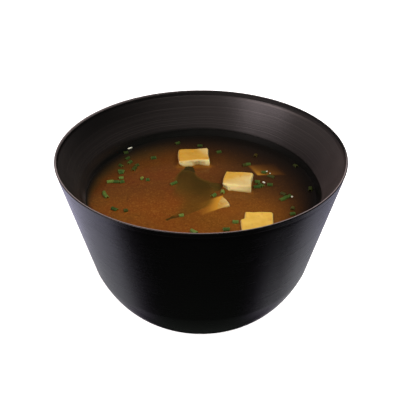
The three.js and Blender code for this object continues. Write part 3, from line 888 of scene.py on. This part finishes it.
class Nodes:
    """The nodes of a material or of the world. What is put in a socket is wired in if it is a socket
    itself, and set if it is a number or a colour."""

    def __init__(self, tree):
        """Nodes made here go in this tree."""
        self.tree = tree

    def add(self, kind, values=None, **settings):
        """A new node with these settings, and these values in its sockets."""
        made = self.tree.nodes.new("ShaderNode" + kind)
        for key, value in settings.items():
            setattr(made, key, value)
        for key, value in (values or {}).items():
            self.put(made.inputs[key], value)
        return made

    def put(self, socket, value):
        """Wires a socket or sets it. A colour gets its fourth number, 1, here."""
        if isinstance(value, bpy.types.NodeSocket):
            self.tree.links.new(value, socket)
        elif socket.type == "RGBA":
            socket.default_value = (*value, 1.0)
        else:
            socket.default_value = value

    def span(self, value, low, high, to_low=0.0, to_high=1.0, **settings):
        """value carried from low..high to to_low..to_high, and held at the ends."""
        made = self.add("MapRange", {
            "Value": value, "From Min": low, "From Max": high, "To Min": to_low, "To Max": to_high,
        }, **settings)
        return made.outputs["Result"]

    def smooth(self, value, low, high, to_low=0.0, to_high=1.0):
        """span with smoothstep in place of a straight line."""
        return self.span(value, low, high, to_low, to_high, interpolation_type="SMOOTHSTEP")

    def math(self, operation, *values):
        """The result of an operation on one to three numbers."""
        return self.add("Math", dict(enumerate(values)), operation=operation).outputs["Value"]

    def times(self, first, second):
        """The product of two numbers."""
        return self.math("MULTIPLY", first, second)

    def blend(self, share, first, second):
        """The colour between two colours at a share."""
        return self.add("Mix", {0: share, 6: first, 7: second}, data_type="RGBA").outputs[2]

    def coats(self, colour, *coats):
        """A colour with other colours laid over it in turn, each given as its share and itself."""
        for share, coat in coats:
            colour = self.blend(share, colour, coat)
        return colour


class Finish(Nodes):
    """A material. The constants of its shader are set on the shader's own sockets."""

    def __init__(self, name):
        """A new material of this name."""
        self.material = bpy.data.materials.new(name)
        self.material.use_nodes = True
        super().__init__(self.material.node_tree)
        self.shader = self.tree.nodes["Principled BSDF"]

    def shaded(self, values):
        """The material, with these values in its shader."""
        for key, value in values.items():
            self.put(self.shader.inputs[key], value)
        return self.material

    def value(self, name):
        """A number kept with the piece's points."""
        return self.add("Attribute", attribute_name=name).outputs["Fac"]

    def place(self, stretch=(1, 1, 1)):
        """Object coordinates, stretched."""
        spot = self.add("TexCoord").outputs["Object"]
        return self.add("Mapping", {"Vector": spot, "Scale": stretch}).outputs["Vector"]

    def noise(self, vector, cell, detail=2.0, rough=0.5, distortion=0.0):
        """Noise with cells of this many millimetres, from 0 to 1."""
        made = self.add("TexNoise", {
            "Vector": vector, "Scale": PER_MM / cell, "Detail": detail,
            "Roughness": rough, "Distortion": distortion,
        })
        return made.outputs["Fac"]

    def lines(self, run, pitch, detail, rough):
        """Uneven lines across a length in millimetres, this far apart, from 0 to 1."""
        made = self.add("TexNoise", {
            "W": run, "Scale": 1 / pitch, "Detail": detail, "Roughness": rough,
        }, noise_dimensions="1D")
        return made.outputs["Fac"]

    def bump(self, height, depth, strength=1.0):
        """Relief of this many millimetres."""
        made = self.add("Bump", {"Height": height, "Distance": depth * MM, "Strength": strength})
        return made.outputs["Normal"]


def lacquer():
    """Black lacquer over turned wood: fine lines round the axis in the gloss and in the relief, and a
    fine grain. The hollow is a little rubbed and browner than the outside, and its lines are paler. It
    is painted pale as a sheen and highlights on the hollow and as a highlight on the lip's edge, and
    black on the lip and where shade is painted high on the hollow."""
    finish = Finish("black_lacquer")
    hollow = finish.value("hollow")
    spot = finish.place()
    smear = finish.noise(spot, 9, 3.0)
    grain = finish.noise(spot, 0.4, 2.0, 0.7)
    drift = finish.span(finish.noise(spot, 16, 1.0), 0, 1, -0.5, 0.5)
    wander = finish.math("ADD", finish.value("turned_mm"), drift)
    fine = finish.lines(wander, 0.5, 2.0, 0.65)
    broad = finish.lines(wander, 2.7, 2.0, 0.5)
    lines = finish.math("ADD", finish.times(fine, 0.6), finish.times(broad, 0.4))
    rubbed = finish.span(finish.times(lines, smear), 0.18, 0.34)
    gloss = finish.math("ADD", finish.span(hollow, 0, 1, 0.24, 0.28), finish.span(rubbed, 0, 1, 0, 0.05))
    painted_sheen = finish.times(finish.value("painted_sheen"), hollow)
    colour = finish.coats(
        (0.0011, 0.0011, 0.0011),
        (hollow, (0.0065, 0.0055, 0.0053)),
        (finish.times(finish.span(fine, 0.48, 0.70), hollow), (0.0210, 0.0180, 0.0172)),
        # painted shade high on the hollow
        (finish.value("painted_wall_shade"), (0.0010, 0.0009, 0.0008)),
        # painted sheen and highlights on the hollow
        (finish.times(painted_sheen, finish.span(smear, 0.3, 0.7, 0.85, 1.15)), (0.0740, 0.0640, 0.0610)),
        (finish.value("lip"), (0.0010, 0.0010, 0.0010)),
        # painted highlight on the lip's edge
        (finish.value("edge"), (0.2600, 0.2250, 0.2250)),
    )
    shallow = finish.times(lines, finish.span(hollow, 0, 1, 0.3, 1.0))
    pitted = finish.times(grain, finish.span(hollow, 0, 1, 0.42, 0.16))
    return finish.shaded({
        "Base Color": colour, "Roughness": gloss, "IOR": 1.5,
        "Normal": finish.bump(finish.math("ADD", shallow, pitted), 0.07),
    })


def wet_film_and_shade_finish():
    """What is left of the broth on the lacquer, painted darker as the shade on the wall above the broth:
    nearly clear and dark, with a painted brown reflection of the broth in one stretch, fading out at
    its edge."""
    finish = Finish("broth_film_and_shade")
    # dark: the wet film with painted shade
    colour = finish.coats(
        (0.0030, 0.0034, 0.0030),
        (finish.noise(finish.place(), 5, 3.0), (0.0050, 0.0053, 0.0046)),
        # painted reflection of the broth
        (finish.value("brown"), (0.0230, 0.0155, 0.0110)),
    )
    return finish.shaded({
        "Base Color": colour, "Roughness": 0.3, "IOR": 1.34, "Specular IOR Level": 0.22,
        "Alpha": finish.value("film"),
    })


def tofu_finish():
    """Soft bean curd that light sinks into: white on the cut near side, where painted light from the
    front makes it whiter still, pale on top, and golden where broth and oil lie on it, with a faint
    crumb and small pits."""
    finish = Finish("soft_tofu")
    spot = finish.place()
    patch = finish.noise(spot, 3.2, 3.0)
    crumb = finish.noise(spot, 0.45, 3.0, 0.6)
    film = finish.times(finish.value("film"), finish.span(patch, 0.3, 0.7, 0.92, 1.0))
    golden = finish.coats(
        (0.68, 0.450, 0.076),
        (finish.value("warm"), (0.42, 0.220, 0.019)),
        (finish.span(patch, 0.35, 0.65, 0.0, 0.3), (0.40, 0.210, 0.022)),
    )
    colour = finish.coats(
        (0.55, 0.480, 0.235),
        (patch, (0.50, 0.420, 0.190)),
        (film, golden),
        # the near side's white, with painted light from the front
        (finish.value("front"), finish.blend(patch, (0.92, 0.830, 0.410), (0.86, 0.750, 0.350))),
        (finish.times(finish.value("pit"), 0.4), (0.50, 0.27, 0.07)),
    )
    return finish.shaded({
        "Base Color": colour, "Roughness": finish.span(film, 0, 1, 0.42, 0.3), "IOR": 1.38,
        "Specular IOR Level": 0.18,
        "Subsurface Weight": 0.6, "Subsurface Radius": (1.0, 0.6, 0.25), "Subsurface Scale": 2.2 * MM,
        "Normal": finish.bump(crumb, 0.05, 0.6),
    })


def glint_crumb_finish():
    """Pale crumbs, whose pale colour paints the glints of light on the wet chives."""
    finish = Finish("glint_crumb")
    # painted highlights: pale crumbs where the wet chives glint
    colour = finish.blend(finish.noise(finish.place(), 0.5, 2.0), (0.62, 0.64, 0.56), (0.46, 0.46, 0.34))
    return finish.shaded({"Base Color": colour, "Roughness": 0.3, "IOR": 1.38})


def wakame_finish():
    """Limp dark olive leaf: darker along its middle, fine veins that fan out to the sides, wet."""
    finish = Finish("wakame")
    spot = finish.place()
    along, reach = finish.value("leaf_along"), finish.math("ABSOLUTE", finish.value("leaf_side"))
    fan = finish.math("ADD", finish.times(along, 46), finish.times(reach, -7))
    vein = finish.math("SINE", finish.math("ADD", fan, finish.times(finish.noise(spot, 4, 2.0), 6)))
    patch = finish.noise(spot, 2.4, 3.0)
    colour = finish.coats(
        (0.040, 0.024, 0.0030),
        (patch, (0.066, 0.038, 0.0046)),
        (finish.span(along, 0.08, 0.24, 0.9, 0.0), (0.023, 0.0145, 0.0023)),
        (finish.span(reach, 0.0, 0.12, 0.6, 0.0), (0.022, 0.018, 0.0030)),
        (finish.span(vein, 0.2, 1.0, 0.0, 0.3), (0.020, 0.018, 0.0030)),
    )
    return finish.shaded({
        "Base Color": colour, "Roughness": finish.span(patch, 0.3, 0.7, 0.55, 0.66), "IOR": 1.35,
        "Specular IOR Level": 0.2, "Normal": finish.bump(vein, 0.06),
    })


def chive_finish():
    """Fresh green with fine lines, some cuts yellower, pale at the cut ends and in the bore, wet, painted
    darker green where the broth's painted shade lies, and dimmed to dark brown by a given share."""
    finish = Finish("chive")
    tint = finish.value("tint")
    streak = finish.noise(finish.place(), 0.35, 2.0)
    colour = finish.coats(
        (0.016, 0.042, 0.0080),
        (tint, (0.082, 0.150, 0.0260)),
        (finish.span(tint, 0.80, 1.0, 0.0, 0.8), (0.190, 0.260, 0.0520)),
        (finish.span(streak, 0.35, 0.65, 0.0, 0.5), (0.016, 0.040, 0.0065)),
        (finish.times(finish.value("cut_end"), 0.35), (0.16, 0.21, 0.04)),
        (finish.times(finish.value("bore"), 0.7), (0.22, 0.20, 0.03)),
        # painted shade: darker green where the broth is shaded
        (finish.span(finish.value("lit"), 0.0, 0.5, 0.75, 0.0), (0.009, 0.014, 0.0030)),
        (finish.value("dimmed"), (0.034, 0.022, 0.0040)),
    )
    return finish.shaded({
        "Base Color": colour, "Roughness": 0.5, "IOR": 1.36, "Specular IOR Level": 0.25,
        "Normal": finish.bump(streak, 0.04),
    })


def broth_finish():
    """Cloudy brown broth: slow clouds of settled paste, redder and more olive by turns, with fine grains
    in it and a wet surface. It is olive-brown and then black where it is shallow over the black wall
    and where the wall's shade is painted on it, golden where tofu lies just under it and dark olive
    over the wakame."""
    finish = Finish("broth")
    spot = finish.place((1, 1, 0.4))
    cloud = finish.noise(spot, 22, 3.0, 0.55, 0.6)
    drift = finish.noise(spot, 5, 3.0, 0.6, 0.8)
    grain = finish.noise(spot, 0.75, 2.0, 0.8)
    fleck = finish.noise(spot, 1.6, 2.0, 0.8)
    full, glow, leaf = finish.value("full"), finish.value("glow"), finish.value("leaf")
    shallow = finish.blend(finish.value("shore"), (0.130, 0.044, 0.0050), (0.146, 0.078, 0.0130))
    brown = finish.coats(
        (0.150, 0.039, 0.0052),
        (finish.span(cloud, 0.38, 0.62), (0.130, 0.046, 0.0058)),
        (finish.value("settled"), (0.135, 0.049, 0.0068)),
        (finish.span(drift, 0.35, 0.7, 0.0, 0.5), (0.165, 0.051, 0.0060)),
        # olive at the shallow edge and in the painted shade
        (finish.span(full, 0.12, 0.45, 0.9, 0.0), shallow),
        (finish.span(grain, 0.5, 0.72, 0.0, 0.6), (0.270, 0.105, 0.014)),
        (finish.span(fleck, 0.42, 0.2, 0.0, 0.6), (0.050, 0.014, 0.0025)),
    )
    gold = finish.blend(finish.span(glow, 0.0, 0.55), (0.31, 0.100, 0.009), (0.48, 0.235, 0.023))
    olive = finish.blend(finish.span(leaf, 0.5, 0.88), (0.045, 0.038, 0.0040), (0.032, 0.021, 0.0024))
    # dark at the shallow edge and in the painted shade, full brown elsewhere
    colour = finish.coats(
        (0.0056, 0.0050, 0.0042),
        (full, brown),
        (glow, gold),
        (finish.times(leaf, finish.span(drift, 0.3, 0.7, 0.9, 1.0)), olive),
    )
    return finish.shaded({
        "Base Color": colour, "Roughness": 0.12, "IOR": 1.34, "Specular IOR Level": 0.16,
        "Normal": finish.bump(grain, 0.01),
    })


# ---- studio

def aim(thing, towards):
    """Turns a light or camera so that it looks along a direction, with its top up."""
    thing.rotation_euler = Vector(towards).to_track_quat("-Z", "Y").to_euler()


def direction(azimuth, elevation):
    """From the bowl: azimuth 0 is away from the viewer and 90 to the viewer's right."""
    a, e = math.radians(azimuth), math.radians(elevation)
    return Vector((math.sin(a) * math.cos(e), math.cos(a) * math.cos(e), math.sin(e)))


def softbox(name, azimuth, elevation, distance, size, radiance, colour):
    """A square area light that looks at the soup. Its power is its radiance times pi times its area."""
    lamp = bpy.data.lights.new(name, "AREA")
    lamp.size = size
    lamp.energy = radiance * math.pi * size * size
    lamp.color = colour
    holder = bpy.data.objects.new(name, lamp)
    holder.location = Vector((0, 0, LEVEL * MM)) + direction(azimuth, elevation) * distance
    aim(holder, -direction(azimuth, elevation))
    bpy.context.scene.collection.objects.link(holder)
    return holder


def surround():
    """A pale room for the eye. What the glossy wall sees is darker: pale and faintly blue low at both
    sides, dark low in the middle and on the near side, darkest in a band a little under the level,
    and dim above, dimmest at the far side."""
    world = bpy.data.worlds.new("studio")
    world.use_nodes = True
    bpy.context.scene.world = world
    world.node_tree.nodes.clear()
    room = Nodes(world.node_tree)
    mixed, smooth = room.blend, room.smooth
    ray = room.add("SeparateXYZ", {0: room.add("TexCoord").outputs["Generated"]})
    side, away, up = ray.outputs
    right = smooth(side, -0.3, 0.3)
    outward = room.math("ADD", room.math("ABSOLUTE", side), smooth(away, 0.35, 0.8, 0, 0.5))

    # where the low sides turn pale, with a step that slips as it rises
    left_slip, right_slip = smooth(up, -0.80, -0.76, -0.03, 0.09), smooth(up, -0.85, -0.80, 0.06, -0.13)
    slip = room.math("ADD", room.times(right, room.math("SUBTRACT", right_slip, left_slip)), left_slip)
    lit = smooth(room.math("ADD", away, slip), room.math("MULTIPLY_ADD", right, 0.10, -0.20), 0.17)
    lit = room.times(lit, smooth(outward, 0.22, 0.55))
    rise = smooth(room.math("MULTIPLY_ADD", away, -0.25, up), -0.845, -0.765)
    wing = mixed(rise, (0.46, 0.46, 0.49), mixed(right, (0.86, 0.83, 1.10), (0.44, 0.43, 0.56)))
    band = room.times(smooth(up, -0.60, -0.45), smooth(away, 0.0, 0.3, 1, 0))
    low = room.coats(
        (0.032, 0.036, 0.032),
        (smooth(up, -0.92, -0.885), (0.006, 0.006, 0.006)),
        (smooth(lit, 0.0, 0.55), (0.14, 0.11, 0.17)),
        (smooth(lit, 0.25, 1.0), wing),
        (band, (0.008, 0.008, 0.009)),
    )

    # above, and what the eye itself sees
    near = mixed(smooth(side, -0.9, 0.9), (0.58, 0.48, 0.46), (0.10, 0.09, 0.085))
    far = mixed(smooth(side, -0.6, 0.2), (0.34, 0.28, 0.27), (0.10, 0.09, 0.09))
    high = mixed(smooth(away, 0.2, 0.7), near, far)
    seen = mixed(smooth(up, smooth(away, 0.0, 0.3, 0.0, -0.25), 0.12), low, high)
    shown = mixed(room.add("LightPath").outputs["Is Camera Ray"], seen, (0.97, 0.97, 0.97))
    light = room.add("Background", {"Color": shown, "Strength": 1.0}).outputs[0]
    room.add("OutputWorld", {"Surface": light}).is_active_output = True


def make_studio():
    """A pale floor, a key from the far right and a front light that nothing mirrors, a softbox on the
    near left that the wall mirrors, and the surround."""
    surround()
    side = FLOOR_REACH
    mesh = bpy.data.meshes.new("floor")
    corners = [(-side, -side, 0), (side, -side, 0), (side, side, 0), (-side, side, 0)]
    mesh.from_pydata(corners, [], [(0, 1, 2, 3)])
    mesh.materials.append(Finish("pale_floor").shaded({
        "Base Color": (0.93, 0.93, 0.93), "Roughness": 0.9,
        "Emission Color": (1, 1, 1), "Emission Strength": 0.75,
    }))
    floor = bpy.data.objects.new("floor", mesh)
    floor.visible_glossy = False
    floor.visible_diffuse = False
    bpy.context.scene.collection.objects.link(floor)
    for name, (*placed, mirrored) in LAMPS.items():
        softbox(name, *placed).visible_glossy = mirrored


def make_camera():
    """The eye stands EYE_DISTANCE from the middle of the mouth, EYE_ELEVATION over it."""
    lens = bpy.data.cameras.new("camera")
    lens.sensor_width = 36
    lens.lens = LENS
    lens.shift_x = -CENTRE_SHIFT / PICTURE_SIDE
    lens.clip_start = 0.01
    camera = bpy.data.objects.new("camera", lens)
    camera.location = Vector((0, 0, HEIGHT * MM)) + direction(180, EYE_ELEVATION) * EYE_DISTANCE * MM
    aim(camera, -direction(180, LOOK_DOWN))
    bpy.context.scene.collection.objects.link(camera)
    bpy.context.scene.camera = camera


make_camera()
make_studio()
make_bowl()
make_wet_film_and_shade()
make_tofu()
make_wakame()
make_chives()
make_broth()
make_glint_crumbs()
bpy.context.scene.view_settings.view_transform = "Standard"
